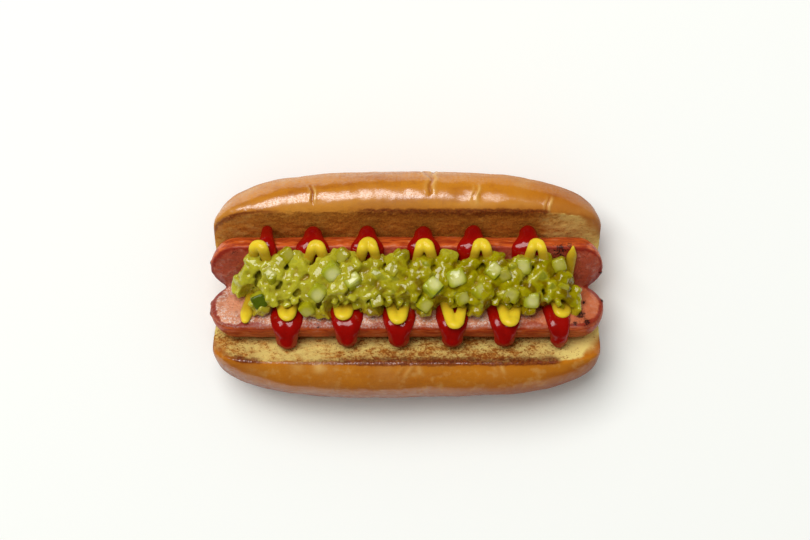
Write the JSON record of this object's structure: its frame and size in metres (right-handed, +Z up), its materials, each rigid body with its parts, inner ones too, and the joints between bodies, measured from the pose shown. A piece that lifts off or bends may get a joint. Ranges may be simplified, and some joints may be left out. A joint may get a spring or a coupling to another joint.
{
  "type": "hot dog",
  "caption": "Opened top-split bun holding a butterflied frankfurter, topped with zigzags of ketchup and mustard and a heap of pickle relish.",
  "frame": {"origin": "middle of the bounding box, at the flat base of the bun", "axes": "+X along the bun, +Y to the bun's thicker half, +Z up"},
  "size_m": [0.152, 0.0872, 0.0452],
  "materials": {
    "crust": "baked crust with an egg wash, toasted on the opened faces",
    "meat": "grilled sausage meat and its skin",
    "ketchup": "wet and glossy",
    "mustard": "smooth and moist",
    "relish": "translucent pickle pieces in syrup"
  },
  "bodies": {
    "root": {"bun": "crust", "frankfurter": "meat", "ketchup": "ketchup", "mustard": "mustard", "relish": "relish"}
  },
  "joints": []
}
